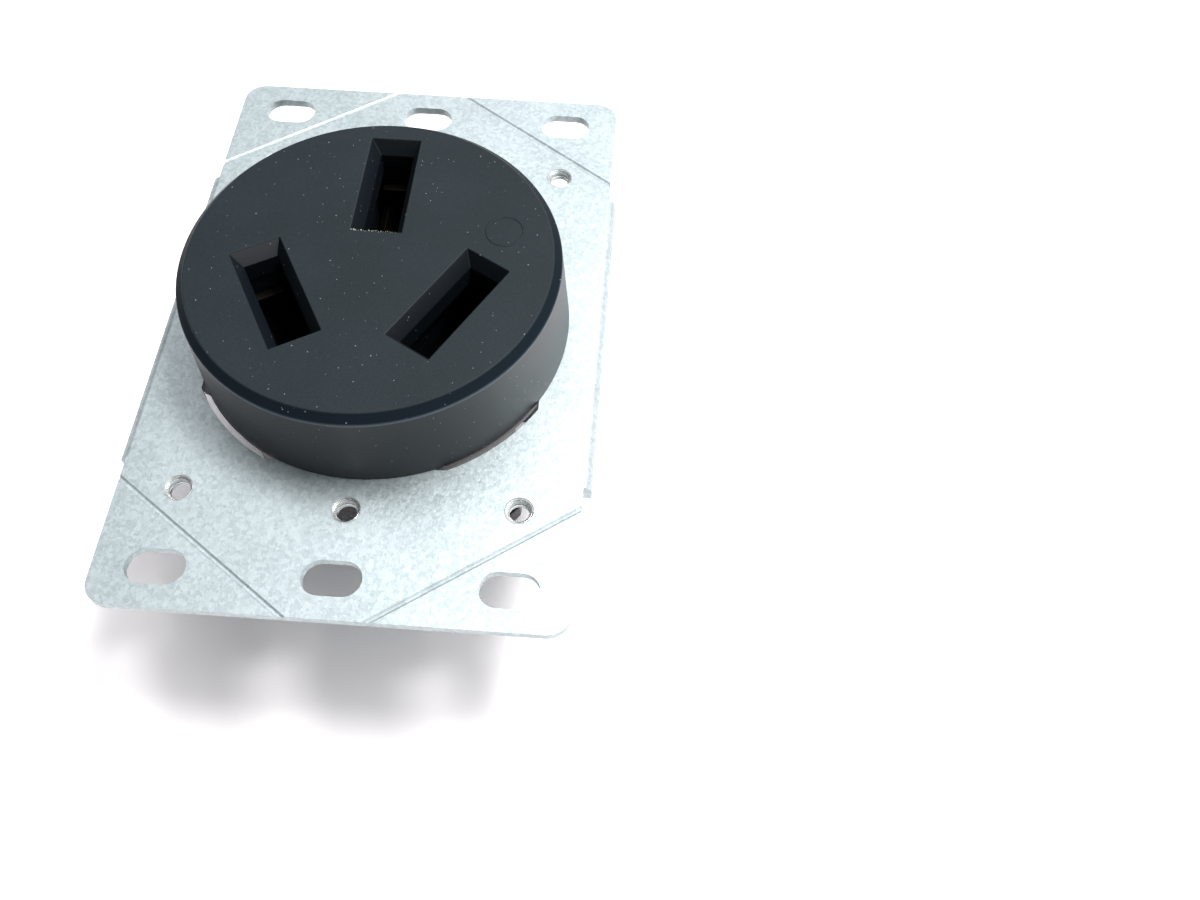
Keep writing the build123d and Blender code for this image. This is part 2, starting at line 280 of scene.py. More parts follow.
def soft_edged(
    node: str,
    material: bpy.types.Material,
    radius: float,
    rings: int = 2,
    smooth_below: float = SMOOTH_BELOW,
) -> bpy.types.Object:
    """Make a copy of a CAD node with merged faces and rounded edges, and show it instead.

    Args:
        node: CAD node to stand for.
        material: Finish of the copy.
        radius: Width of the rounding of its edges, in millimetres.
        rings: Rows of faces across each rounding.
        smooth_below: Edges turned less than this stay as they are and are shaded smooth.

    Returns:
        The new piece, riding on the node's body.
    """
    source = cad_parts[node].data
    mesh = bpy.data.meshes.new(f"{node}_surface")
    mesh.from_pydata([v.co for v in source.vertices], [], [p.vertices for p in source.polygons])
    shape = bmesh.new()
    shape.from_mesh(mesh)
    bmesh.ops.remove_doubles(shape, verts=shape.verts, dist=WELD * MM)
    bmesh.ops.dissolve_limit(
        shape,
        angle_limit=FLAT_WITHIN,
        verts=shape.verts,
        edges=shape.edges,
        use_dissolve_boundaries=False,
    )
    shape.to_mesh(mesh)
    shape.free()
    piece = bpy.data.objects.new(f"{node}_surface", mesh)
    bpy.context.scene.collection.objects.link(piece)
    bevel = piece.modifiers.new("Edges", "BEVEL")
    bevel.width = radius * MM
    bevel.segments = rings
    bevel.limit_method = "ANGLE"
    bevel.angle_limit = smooth_below
    bevel.harden_normals = True
    mesh.shade_smooth()
    rounded = finished_mesh(piece, f"{node}_surface")
    piece.modifiers.clear()
    piece.data = rounded
    rounded.materials.clear()
    rounded.materials.append(material)
    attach(piece, BODY)
    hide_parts(node)
    log.info("%s: %d faces", piece.name, len(rounded.polygons))
    return piece


def input_named(tree: bpy.types.NodeTree, name: str) -> str:
    """Look up an input of a node group.

    Args:
        tree: The node group.
        name: The input's name.

    Returns:
        The input's identifier, which a modifier's values go by.
    """
    return next(
        item.identifier
        for item in tree.interface.items_tree
        if item.item_type == "SOCKET" and item.in_out == "INPUT" and item.name == name
    )


def from_tree(
    name: str,
    points: Iterable[tuple[float, float, float]],
    tree: bpy.types.NodeTree,
    values: dict[str, Any],
    material: bpy.types.Material,
) -> bpy.types.Object:
    """Run a Geometry Nodes tree on a few points and keep the result as a plain piece.

    Args:
        name: Name of the piece.
        points: Places the tree works on, in millimetres.
        tree: The Geometry Nodes tree.
        values: Values of its named inputs.
        material: Finish, handed to the tree.

    Returns:
        The new piece, riding on the body.
    """
    mesh = bpy.data.meshes.new(name)
    mesh.from_pydata([Vector(point) * MM for point in points], [], [])
    piece = bpy.data.objects.new(name, mesh)
    bpy.context.scene.collection.objects.link(piece)
    modifier = piece.modifiers.new("Nodes", "NODES")
    modifier.node_group = tree
    for key, value in values.items():
        modifier[input_named(tree, key)] = value
    modifier[input_named(tree, "Material")] = material
    made = finished_mesh(piece, name)
    piece.modifiers.clear()
    piece.data = made
    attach(piece, BODY)
    log.info("%s: %d faces", name, len(made.polygons))
    return piece


# Finishes


class Grain(Enum):
    """How a metal's surface was worked, as the stretch of its marks along X, Y and Z."""

    ALONG_Y = (1.0, 0.06, 1.0)
    ALONG_Z = (1.0, 1.0, 0.06)
    EVEN = (1.0, 1.0, 1.0)


@dataclass(frozen=True)
class GalvanisedSheet:
    """Hot-dip galvanised sheet steel, lightly rolled.

    Zinc crystals about half a millimetre across each catch the light a little differently,
    so the eye sees a pale blue-grey metal with a fine frosted mottle and slow patches of
    tone. Oxide hides a share of the bare metal, and the floors of the score lines are dull.
    """

    name: str = "galvanised_sheet"
    bright: str = "#CCD7D9"
    dull: str = "#A9B5B7"
    crystal: float = 0.5
    crystal_blur: float = 0.25
    crystal_weight: float = 0.36
    wander: float = 0.5
    wanders_per_mm: float = 1.6
    frost_per_mm: float = 4.2
    frost_weight: float = 0.5
    patch: float = 9.0
    patch_weight: float = 0.45
    mottle_span: tuple[float, float] = (0.22, 0.98)
    roughness: tuple[float, float] = (0.32, 0.46)
    bare_share: float = 0.55
    top: float = 1.27
    groove: float = 0.1
    groove_roughness: float = 0.6
    crystal_height: float = 0.5
    relief_strength: float = 0.55
    relief_depth: float = 0.026

    def material(self) -> bpy.types.Material:
        """Build the material.

        Returns:
            The material, with all its nodes.
        """
        material, tree = material_tree(self.name)
        place = object_place(tree)
        wander = noise(tree, place, self.wanders_per_mm, 2.0).outputs["Color"]
        shifted = add_node(
            tree,
            "ShaderNodeVectorMath",
            {"operation": "MULTIPLY_ADD"},
            {0: wander, 1: (self.wander * MM,) * 3, 2: place},
        ).outputs[0]
        crystals = add_node(
            tree,
            "ShaderNodeTexVoronoi",
            {"feature": "SMOOTH_F1"},
            {"Vector": shifted, "Scale": 1 / (self.crystal * MM), "Smoothness": self.crystal_blur},
        )
        luck = channels(tree, crystals)
        frost = noise(tree, place, self.frost_per_mm, 3.0, 0.65).outputs["Fac"]
        patches = noise(tree, place, 1 / self.patch, 3.0, 0.55).outputs["Fac"]
        mottle = maths(tree, "MULTIPLY", luck[0], self.crystal_weight)
        mottle = maths(tree, "MULTIPLY_ADD", frost, self.frost_weight, mottle)
        mottle = maths(tree, "MULTIPLY_ADD", patches, self.patch_weight, mottle)
        shade = ramp(tree, mottle, self.mottle_span, smooth=True)
        axes = add_node(tree, "ShaderNodeSeparateXYZ", None, {0: place}).outputs
        depth_span = (self.top * MM, (self.top - self.groove) * MM)
        sunk = ramp(tree, axes["Z"], depth_span, (0.0, self.groove_roughness))
        rough = maths(tree, "MAXIMUM", ramp(tree, luck[1], ends=self.roughness), sunk)
        height = maths(tree, "MULTIPLY_ADD", luck[2], self.crystal_height, frost)
        end_material(
            tree,
            {
                "Base Color": mixed(tree, shade, linear(self.dull), linear(self.bright)),
                "Metallic": self.bare_share,
                "Roughness": rough,
                "Normal": relief(tree, height, self.relief_strength, self.relief_depth),
            },
        )
        return material


@dataclass(frozen=True)
class FaceMoulding:
    """Black phenolic thermoset, moulded with a fine matt face and a polished rim.

    The matt face scatters the light to a soft charcoal with a little dust on it. The
    chamfer and the wall stay near black, and the slopes and wells of the slots are painted
    darker still for the shade inside them. The wall mirrors the floor at a grazing angle,
    and a paler band is painted along the edge on top of it for that edge's highlight.
    """

    name: str = "thermoset_face_moulding"
    matt: str = "#1C262B"
    rim: str = "#1A2228"
    wall: str = "#161D21"
    # Polished slopes and wells of the slots; their colour is painted darker for the shade inside
    # them
    polished: str = "#0F161C"
    # Painted highlight: the paler band along the edge on top of the wall
    edge_highlight: str = "#47515A"
    dust: str = "#AEB6BA"
    face_level: float = 15.17
    face_fade: tuple[float, float] = (-0.16, -0.02)
    rim_level: float = 13.97
    slot_reach: float = 25.1
    fade: float = 0.1
    # How far the painted highlight band reaches above and below the rim level
    highlight_above: float = 0.2
    highlight_below: float = 0.35
    matt_roughness: float = 0.6
    wall_roughness: float = 0.45
    polished_roughness: float = 0.36
    matt_sheen: float = 0.26
    wall_sheen: float = 0.62
    rim_sheen: float = 0.01
    slot_sheen: float = 0.55
    clouds_per_mm: float = 0.09
    cloud_tones: tuple[float, float] = (0.88, 1.12)
    grains_per_mm: float = 5.5
    grain_tones: tuple[float, float] = (0.78, 1.22)
    relief_strength: float = 0.3
    relief_depth: float = 0.02
    dust_spacing: float = 0.75
    dust_size: float = 0.1
    dust_bare: float = 0.45
    dust_cover: float = 0.45

    def dusted(self, tree: bpy.types.NodeTree, place: Socket, colour: Socket) -> Socket:
        """Strew specks of dust of all sizes over a colour.

        Args:
            tree: The material's tree.
            place: Socket with the place on the object.
            colour: Socket with the clean colour.

        Returns:
            Socket with the dusty colour.
        """
        specks = add_node(
            tree,
            "ShaderNodeTexVoronoi",
            {"feature": "F1"},
            {"Vector": place, "Scale": 1 / (self.dust_spacing * MM)},
        )
        luck = channels(tree, specks)[0]
        size = ramp(tree, luck, (self.dust_bare, 1.0), (0.0, self.dust_size / self.dust_spacing))
        speck = maths(tree, "LESS_THAN", specks.outputs["Distance"], size)
        cover = maths(tree, "MULTIPLY", speck, self.dust_cover)
        return mixed(tree, cover, colour, linear(self.dust))

    def material(self) -> bpy.types.Material:
        """Build the material.

        Returns:
            The material, with all its nodes.
        """
        material, tree = material_tree(self.name)
        place = object_place(tree)
        level = add_node(tree, "ShaderNodeSeparateXYZ", None, {0: place}).outputs["Z"]
        flat = add_node(
            tree, "ShaderNodeVectorMath", {"operation": "MULTIPLY"}, {0: place, 1: (1.0, 1.0, 0.0)}
        )
        reach = add_node(
            tree, "ShaderNodeVectorMath", {"operation": "LENGTH"}, {0: flat.outputs[0]}
        ).outputs["Value"]
        rim, fade = self.rim_level, self.fade
        on_face = past(tree, level, *(self.face_level + step for step in self.face_fade))
        round_rim = past(tree, reach, self.slot_reach - fade, self.slot_reach + fade)
        on_wall = maths(tree, "MULTIPLY", round_rim, past(tree, level, rim + fade, rim - fade))
        # Painted highlight: a paler band round the edge between the chamfer and the wall
        under_edge = past(tree, level, rim + self.highlight_above, rim)
        over_edge = past(tree, level, rim - self.highlight_below, rim - fade)
        painted_highlight = maths(tree, "MULTIPLY", maths(tree, "MULTIPLY", under_edge, over_edge), round_rim)

        clouds = noise(tree, place, self.clouds_per_mm, 4.0).outputs["Fac"]
        grain = noise(tree, place, self.grains_per_mm, 3.0).outputs["Fac"]
        tone = maths(
            tree,
            "MULTIPLY",
            ramp(tree, clouds, NOISE_SPAN, self.cloud_tones),
            ramp(tree, grain, NOISE_SPAN, self.grain_tones),
        )
        side = mixed(tree, on_wall, linear(self.rim), linear(self.wall))
        # Inside the slots the colour is painted darker for the shade in those recesses
        colour = mixed(tree, round_rim, linear(self.polished), side)
        # The painted highlight band is laid over the rim's colours
        colour = mixed(tree, painted_highlight, colour, linear(self.edge_highlight))
        colour = mixed(tree, on_face, colour, scaled(tree, self.matt, tone))

        rough = ramp(tree, on_wall, ends=(self.polished_roughness, self.wall_roughness))
        rough = ramp(tree, on_face, ends=(rough, self.matt_roughness))
        sheen = ramp(tree, round_rim, ends=(self.slot_sheen, self.rim_sheen))
        sheen = ramp(tree, on_wall, ends=(sheen, self.wall_sheen))
        sheen = ramp(tree, on_face, ends=(sheen, self.matt_sheen))
        end_material(
            tree,
            {
                "Base Color": self.dusted(tree, place, colour),
                "Roughness": rough,
                "IOR": THERMOSET_IOR,
                "Specular IOR Level": sheen,
                "Normal": relief(tree, grain, self.relief_strength, self.relief_depth),
            },
        )
        return material


@dataclass(frozen=True)
class BodyMoulding:
    """Black filled thermoset of the body behind the strap, from a polished mould.

    Its smooth walls mirror the bright floor at a grazing angle, over a faint sandy grain.
    """

    name: str = "thermoset_body_moulding"
    dark: str = "#0C0E10"
    pale: str = "#16191C"
    clouds_per_mm: float = 0.12
    roughness: float = 0.3
    grain: float = 0.45
    relief_strength: float = 0.4
    relief_depth: float = 0.03

    def material(self) -> bpy.types.Material:
        """Build the material.

        Returns:
            The material, with all its nodes.
        """
        material, tree = material_tree(self.name)
        place = object_place(tree)
        clouds = noise(tree, place, self.clouds_per_mm, 5.0).outputs["Fac"]
        sand = noise(tree, place, 1 / self.grain, 4.0).outputs["Fac"]
        end_material(
            tree,
            {
                "Base Color": mixed(tree, clouds, linear(self.dark), linear(self.pale)),
                "Roughness": self.roughness,
                "IOR": THERMOSET_IOR,
                "Normal": relief(tree, sand, self.relief_strength, self.relief_depth),
            },
        )
        return material


@dataclass(frozen=True)
class WorkedMetal:
    """A bare or plated metal with the marks of rolling, drawing or tumbling.

    Fine marks along the way it was worked spread its highlights across them, and a
    slow change of tone shows handling and a thin tarnish.
    """

    name: str
    bright: str
    dull: str
    roughness: tuple[float, float]
    grain: Grain
    mark: float = 0.25
    tarnish_per_mm: float = 0.3
    relief_strength: float = 0.3
    relief_depth: float = 0.01

    def material(self) -> bpy.types.Material:
        """Build the material.

        Returns:
            The material, with all its nodes.
        """
        material, tree = material_tree(self.name)
        place = object_place(tree)
        stretched = add_node(
            tree, "ShaderNodeMapping", None, {"Vector": place, "Scale": self.grain.value}
        ).outputs[0]
        marks = noise(tree, stretched, 1 / self.mark, 4.0).outputs["Fac"]
        tarnish = noise(tree, place, self.tarnish_per_mm, 3.0).outputs["Fac"]
        tone = ramp(tree, tarnish, NOISE_SPAN)
        end_material(
            tree,
            {
                "Base Color": mixed(tree, tone, linear(self.dull), linear(self.bright)),
                "Metallic": 1.0,
                "Roughness": ramp(tree, marks, ends=self.roughness),
                "Normal": relief(tree, marks, self.relief_strength, self.relief_depth),
            },
        )
        return material


@dataclass(frozen=True)
class DryResin:
    """Torn edge of a moulding, where the black skin is gone and pale filler shows, dry and dull."""

    name: str
    pale: str
    dark: str
    roughness: float = 0.8
    grain: float = 0.2

    def material(self) -> bpy.types.Material:
        """Build the material.

        Returns:
            The material, with all its nodes.
        """
        material, tree = material_tree(self.name)
        sand = noise(tree, object_place(tree), 1 / self.grain, 2.0).outputs["Fac"]
        colour = mixed(tree, sand, linear(self.dark), linear(self.pale))
        end_material(tree, {"Base Color": colour, "Roughness": self.roughness})
        return material


# Flash left along the edge of a slot
MOULD_FLASH = DryResin("mould_flash", "#C9CBB4", "#5D6357")
# Cold-rolled copper alloy strip, stored bare, roll marks along it; its brown is painted near black
# for the shade it sits in down the slots' wells
SHADED_COPPER_ALLOY = WorkedMetal("rolled_copper_alloy_in_shade", "#2F2A25", "#1E1C1A", (0.42, 0.58), Grain.ALONG_Y)
# Blued spring steel: dark, hard and a little bluer than bare steel
SPRING_STEEL = WorkedMetal("blued_spring_steel", "#5A5D63", "#3C3F46", (0.28, 0.42), Grain.ALONG_Y)
# Tin-plated extruded aluminium: soft white metal, extrusion lines along the wire
TIN_PLATE = WorkedMetal("tin_plated_aluminium", "#D4D7D8", "#B2B6B9", (0.30, 0.48), Grain.ALONG_Y)
# Drawn brass rivet wire, headed cold
DRAWN_BRASS = WorkedMetal("drawn_brass", "#CDAA68", "#A98548", (0.22, 0.36), Grain.ALONG_Z)
# Steel freshly cut by a tap: bright, with fine marks round the hole
CUT_STEEL = WorkedMetal("bright_cut_steel", "#F2F0EC", "#C9C6C2", (0.16, 0.3), Grain.EVEN, 0.2)
# Zinc-plated steel, barrel plated, so its marks run every way
ZINC_PLATE = WorkedMetal("zinc_plated_steel", "#C9CCCB", "#9FA3A3", (0.24, 0.42), Grain.EVEN, 0.4)


# Geometry Nodes trees

RING_STEPS = 72
RING_SIDES = 8
THREAD_STEPS = 28
THREAD_SIDES = 6
# How far a crumb strays from its row, least and most along X, Y and Z, in millimetres
CRUMB_STRAY = ((-0.1, -0.14, -0.06), (0.1, 0.12, 0.03))
# Share of the full size, by luck and at the far end of the row, and the largest turn
CRUMB_LUCK = (0.15, 1.0)
CRUMB_LAST = 0.2
CRUMB_TURN = 3.0


class Draw(Enum):
    """Seeds of the crumbs' random draws."""

    PLACE = 4
    SIZE = 9
    TURN = 2


def geometry_tree(name: str, floats: tuple[str, ...]) -> tuple[bpy.types.NodeTree, Any]:
    """Start a Geometry Nodes tree that works on points.

    Args:
        name: Name of the tree.
        floats: Names of its number inputs.

    Returns:
        The tree, with a Geometry and a Material input besides, and its inputs' sockets.
    """
    tree = bpy.data.node_groups.new(name, "GeometryNodeTree")
    face = tree.interface
    face.new_socket("Geometry", in_out="INPUT", socket_type="NodeSocketGeometry")
    for number in floats:
        face.new_socket(number, in_out="INPUT", socket_type="NodeSocketFloat")
    face.new_socket("Material", in_out="INPUT", socket_type="NodeSocketMaterial")
    face.new_socket("Geometry", in_out="OUTPUT", socket_type="NodeSocketGeometry")
    return tree, add_node(tree, "NodeGroupInput").outputs


def dressed_output(
    tree: bpy.types.NodeTree, given: Any, placed: bpy.types.Node
) -> bpy.types.NodeTree:
    """Make a tree's copies real, give them their finish and hand them out.

    Args:
        tree: The tree to end.
        given: Sockets of the tree's inputs.
        placed: Node that gives the copies.

    Returns:
        The tree.
    """
    real = add_node(tree, "GeometryNodeRealizeInstances", None, {"Geometry": placed.outputs[0]})
    dressed = add_node(
        tree,
        "GeometryNodeSetMaterial",
        None,
        {"Geometry": real.outputs[0], "Material": given["Material"]},
    )
    add_node(tree, "NodeGroupOutput", None, {0: dressed.outputs[0]})
    return tree


def place_and_dress(
    tree: bpy.types.NodeTree, given: Any, shape: bpy.types.Node
) -> bpy.types.NodeTree:
    """End a tree: a smooth copy of the shape on each point, real and in its finish.

    Args:
        tree: The tree to end.
        given: Sockets of the tree's inputs.
        shape: Node that gives the shape.

    Returns:
        The tree.
    """
    smooth = add_node(tree, "GeometryNodeSetShadeSmooth", None, {"Geometry": shape.outputs[0]})
    placed = add_node(
        tree,
        "GeometryNodeInstanceOnPoints",
        None,
        {"Points": given["Geometry"], "Instance": smooth.outputs[0]},
    )
    return dressed_output(tree, given, placed)


def ring_tree() -> bpy.types.NodeTree:
    """Tree that lays a flat ring on each point.

    Returns:
        A tree with inputs Radius, Half Width, Half Height and Material.
    """
    tree, given = geometry_tree("raised_ring", ("Radius", "Half Width", "Half Height"))
    path = add_node(
        tree,
        "GeometryNodeCurvePrimitiveCircle",
        None,
        {"Resolution": RING_STEPS, "Radius": given["Radius"]},
    )
    section = add_node(
        tree,
        "GeometryNodeCurvePrimitiveCircle",
        None,
        {"Resolution": RING_SIDES, "Radius": given["Half Width"]},
    )
    ring = add_node(
        tree,
        "GeometryNodeCurveToMesh",
        None,
        {"Curve": path.outputs[0], "Profile Curve": section.outputs[0]},
    )
    slim = maths(tree, "DIVIDE", given["Half Height"], given["Half Width"])
    squeeze = add_node(tree, "ShaderNodeCombineXYZ", None, {"X": 1.0, "Y": 1.0, "Z": slim})
    flat = add_node(
        tree,
        "GeometryNodeTransform",
        None,
        {"Geometry": ring.outputs[0], "Scale": squeeze.outputs[0]},
    )
    return place_and_dress(tree, given, flat)


def crumb_tree() -> bpy.types.NodeTree:
    """Tree that strews small crumbs along X from each point, ever smaller.

    Returns:
        A tree with inputs Length, Gap, Size and Material.
    """
    tree, given = geometry_tree("mould_flash_crumbs", ("Length", "Gap", "Size"))
    count = maths(tree, "DIVIDE", given["Length"], given["Gap"])
    step = add_node(tree, "ShaderNodeCombineXYZ", None, {"X": given["Gap"]})
    row = add_node(
        tree,
        "GeometryNodeMeshLine",
        {"mode": "OFFSET"},
        {"Count": count, "Offset": step.outputs[0]},
    )
    rows = add_node(
        tree,
        "GeometryNodeInstanceOnPoints",
        None,
        {"Points": given["Geometry"], "Instance": row.outputs[0]},
    )
    spots = add_node(tree, "GeometryNodeRealizeInstances", None, {"Geometry": rows.outputs[0]})
    least, most = (tuple(side * MM for side in corner) for corner in CRUMB_STRAY)
    stray = add_node(
        tree,
        "FunctionNodeRandomValue",
        {"data_type": "FLOAT_VECTOR"},
        {"Min": least, "Max": most, "Seed": Draw.PLACE.value},
    )
    moved = add_node(
        tree,
        "GeometryNodeSetPosition",
        None,
        {"Geometry": spots.outputs[0], "Offset": stray.outputs[0]},
    )
    nth = add_node(tree, "GeometryNodeInputIndex").outputs[0]
    left = ramp(tree, maths(tree, "DIVIDE", nth, count), ends=(1.0, CRUMB_LAST))
    luck = add_node(
        tree,
        "FunctionNodeRandomValue",
        {"data_type": "FLOAT"},
        {2: CRUMB_LUCK[0], 3: CRUMB_LUCK[1], "Seed": Draw.SIZE.value},
    ).outputs[1]
    size = maths(tree, "MULTIPLY", given["Size"], maths(tree, "MULTIPLY", left, luck))
    crumb = add_node(tree, "GeometryNodeMeshIcoSphere", None, {"Radius": 1.0, "Subdivisions": 1})
    shape = add_node(tree, "ShaderNodeCombineXYZ", None, {"X": size, "Y": size, "Z": size})
    turn = add_node(
        tree,
        "FunctionNodeRandomValue",
        {"data_type": "FLOAT_VECTOR"},
        {"Min": (0.0,) * 3, "Max": (CRUMB_TURN,) * 3, "Seed": Draw.TURN.value},
    )
    crumbs = add_node(
        tree,
        "GeometryNodeInstanceOnPoints",
        None,
        {
            "Points": moved.outputs[0],
            "Instance": crumb.outputs[0],
            "Rotation": turn.outputs[0],
            "Scale": shape.outputs[0],
        },
    )
    return dressed_output(tree, given, crumbs)


def thread_tree() -> bpy.types.NodeTree:
    """Tree that sets a helical thread ridge on each point.

    Returns:
        A tree with inputs Radius, Top Radius, Pitch, Turns, Ridge and Material.
    """
    tree, given = geometry_tree("thread_ridge", ("Radius", "Top Radius", "Pitch", "Turns", "Ridge"))
    helix = add_node(
        tree,
        "GeometryNodeCurveSpiral",
        None,
        {
            "Resolution": THREAD_STEPS,
            "Rotations": given["Turns"],
            "Start Radius": given["Radius"],
            "End Radius": given["Top Radius"],
            "Height": maths(tree, "MULTIPLY", given["Pitch"], given["Turns"]),
        },
    )
    section = add_node(
        tree,
        "GeometryNodeCurvePrimitiveCircle",
        None,
        {"Resolution": THREAD_SIDES, "Radius": given["Ridge"]},
    )
    ridge = add_node(
        tree,
        "GeometryNodeCurveToMesh",
        None,
        {"Curve": helix.outputs[0], "Profile Curve": section.outputs[0], "Fill Caps": True},
    )
    return place_and_dress(tree, given, ridge)


# Sub-assemblies


@dataclass
class FaceCover:
    """Round moulded cover with three funnel-mouthed blade slots and a plain ring mark."""

    edge_radius: float = 0.22
    edge_rings: int = 3
    mark_place: tuple[float, float] = (17.9, 6.1)
    mark_radius: float = 2.6
    mark_half_width: float = 0.16
    mark_half_height: float = 0.07
    flash_start: tuple[float, float] = (-3.55, 4.72)
    flash_length: float = 7.0
    flash_gap: float = 0.2
    flash_size: float = 0.2
    finish: FaceMoulding = field(default_factory=FaceMoulding)

    def build(self) -> None:
        """Dress the cover and raise its mark."""
        material = self.finish.material()
        soft_edged("face_cover", material, self.edge_radius, self.edge_rings)
        from_tree(
            "face_mark",
            [(*self.mark_place, self.finish.face_level)],
            ring_tree(),
            {
                "Radius": self.mark_radius * MM,
                "Half Width": self.mark_half_width * MM,
                "Half Height": self.mark_half_height * MM,
            },
            material,
        )
        from_tree(
            "mould_flash",
            [(*self.flash_start, self.finish.face_level)],
            crumb_tree(),
            {
                "Length": self.flash_length * MM,
                "Gap": self.flash_gap * MM,
                "Size": self.flash_size * MM,
            },
            MOULD_FLASH.material(),
        )


@dataclass(frozen=True)
class TappedThread:
    """One run of thread ridges in the strap's tapped holes, in millimetres."""

    name: str
    radii: tuple[float, float]
    levels: tuple[float, float]
    pitch: float
    ridge: float


@dataclass
class MountingStrap:
    """Galvanised strap with its tapped collars."""

    edge_radius: float = 0.14
    facet_angle: float = 16.0
    plate_hole_spacing_x: float = 46.04
    plate_hole_spacing_y: float = 60.33
    centre_hole_spacing_y: float = 63.5
    threads: tuple[TappedThread, ...] = (
        TappedThread("tapped_threads", (1.56, 1.56), (-0.36, 0.75), 0.794, 0.22),
        TappedThread("lead_threads", (1.58, 1.86), (0.76, 1.12), 0.18, 0.12),
    )
    finish: GalvanisedSheet = field(default_factory=GalvanisedSheet)

    def holes(self) -> list[tuple[float, float]]:
        """Centres of the tapped holes.

        Returns:
            X and Y of each, in millimetres.
        """
        x, y = self.plate_hole_spacing_x / 2, self.plate_hole_spacing_y / 2
        corners = [(sx * x, sy * y) for sx in (-1, 1) for sy in (-1, 1)]
        middle = self.centre_hole_spacing_y / 2
        return corners + [(0.0, middle), (0.0, -middle)]

    def build(self) -> None:
        """Dress the strap and cut its threads."""
        material, cut = self.finish.material(), CUT_STEEL.material()
        soft_edged(
            "mounting_strap", material, self.edge_radius, smooth_below=radians(self.facet_angle)
        )
        for thread in self.threads:
            low, high = thread.levels
            from_tree(
                thread.name,
                [(x, y, low) for x, y in self.holes()],
                thread_tree(),
                {
                    "Radius": thread.radii[0] * MM,
                    "Top Radius": thread.radii[1] * MM,
                    "Pitch": thread.pitch * MM,
                    "Turns": (high - low) / thread.pitch,
                    "Ridge": thread.ridge * MM,
                },
                cut,
            )


@dataclass
class MouldedBody:
    """Contact carrier, rear housing and back plate behind the strap."""

    edge_radius: float = 0.2
    pin_places: tuple[tuple[float, float], ...] = (
        (-7.5, 2.0),
        (7.5, 2.0),
        (-9.5, 18.5),
        (9.5, 18.5),
    )
    pin_radius: float = 1.8
    pin_half_width: float = 0.09
    pin_half_height: float = 0.04
    finish: BodyMoulding = field(default_factory=BodyMoulding)

    def build(self) -> None:
        """Dress the three mouldings and mark where the mould's ejector pins stood."""
        material = self.finish.material()
        for node in ("contact_carrier", "rear_housing", "back_plate"):
            soft_edged(node, material, self.edge_radius)
        rear = box_of("back_plate")[0].z
        from_tree(
            "ejector_marks",
            [(x, y, rear) for x, y in self.pin_places],
            ring_tree(),
            {
                "Radius": self.pin_radius * MM,
                "Half Width": self.pin_half_width * MM,
                "Half Height": self.pin_half_height * MM,
            },
            material,
        )


@dataclass
class Terminals:
    """Contacts, springs, blocks, rivets, plates and clamp screws of the three terminals."""

    strip_edge: float = 0.1
    block_edge: float = 0.25
    screw_edge: float = 0.12
    thread_pitch: float = 0.907
    thread_margin: float = 0.9
    thread_sink: float = 0.11
    ridge: float = 0.13
    patterns: tuple[str, ...] = ("neutral_{}", "line_{}_right", "line_{}_left")

    def cut_threads(self, material: bpy.types.Material) -> None:
        """Run a thread round each clamp screw.

        Args:
            material: Finish of the screws.
        """
        names = [pattern.format("clamp_screw") for pattern in self.patterns]
        boxes = [box_of(name) for name in names]
        feet = [
            ((low.x + high.x) / 2, (low.y + high.y) / 2, low.z + self.thread_margin)
            for low, high in boxes
        ]
        low, high = boxes[0]
        radius = ((high.x - low.x) / 2 - self.thread_sink) * MM
        from_tree(
            "clamp_screw_threads",
            feet,
            thread_tree(),
            {
                "Radius": radius,
                "Top Radius": radius,
                "Pitch": self.thread_pitch * MM,
                "Turns": (high.z - low.z - 2 * self.thread_margin) / self.thread_pitch,
                "Ridge": self.ridge * MM,
            },
            material,
        )

    def build(self) -> None:
        """Dress every piece of every terminal."""
        # The contacts' copper is painted dark for the shade of the slots' wells
        copper, steel = SHADED_COPPER_ALLOY.material(), SPRING_STEEL.material()
        tin, brass = TIN_PLATE.material(), DRAWN_BRASS.material()
        zinc = ZINC_PLATE.material()
        finishes = {
            "contact": (copper, self.strip_edge),
            "spring_clip": (steel, self.strip_edge),
            "lug": (tin, self.block_edge),
            "rivet": (brass, self.screw_edge),
            "pressure_plate": (zinc, self.screw_edge),
            "clamp_screw": (zinc, self.screw_edge),
        }
        for pattern in self.patterns:
            for piece, (material, edge) in finishes.items():
                soft_edged(pattern.format(piece), material, edge)
        self.cut_threads(zinc)


@dataclass
class AssemblyScrews:
    """Three long screws that hold the body to the cover."""

    edge_radius: float = 0.15
    names: tuple[str, ...] = ("right", "left", "lower")

    def build(self) -> None:
        """Dress the screws."""
        zinc = ZINC_PLATE.material()
        for name in self.names:
            soft_edged(f"assembly_screw_{name}", zinc, self.edge_radius)


@dataclass(frozen=True)
class SkyPatch:
    """Bright round patch in the surroundings, such as a window or a lamp's white umbrella."""

    way: tuple[float, float, float]
    edge_cosine: float
    full_cosine: float
    strength: float

    def added_to(self, tree: bpy.types.NodeTree, way: Socket, before: Socket) -> Socket:
        """Add the patch's light to a level.

        Args:
            tree: Node tree of the surroundings.
            way: Socket with the direction looked in.
            before: Socket with the level without the patch.

        Returns:
            Socket with the level with it.
        """
        towards = add_node(
            tree, "ShaderNodeVectorMath", {"operation": "DOT_PRODUCT"}, {0: way, 1: self.way}
        ).outputs["Value"]
        span = (self.edge_cosine, self.full_cosine)
        share = ramp(tree, towards, span, (0.0, self.strength), smooth=True)
        return maths(tree, "ADD", before, share)


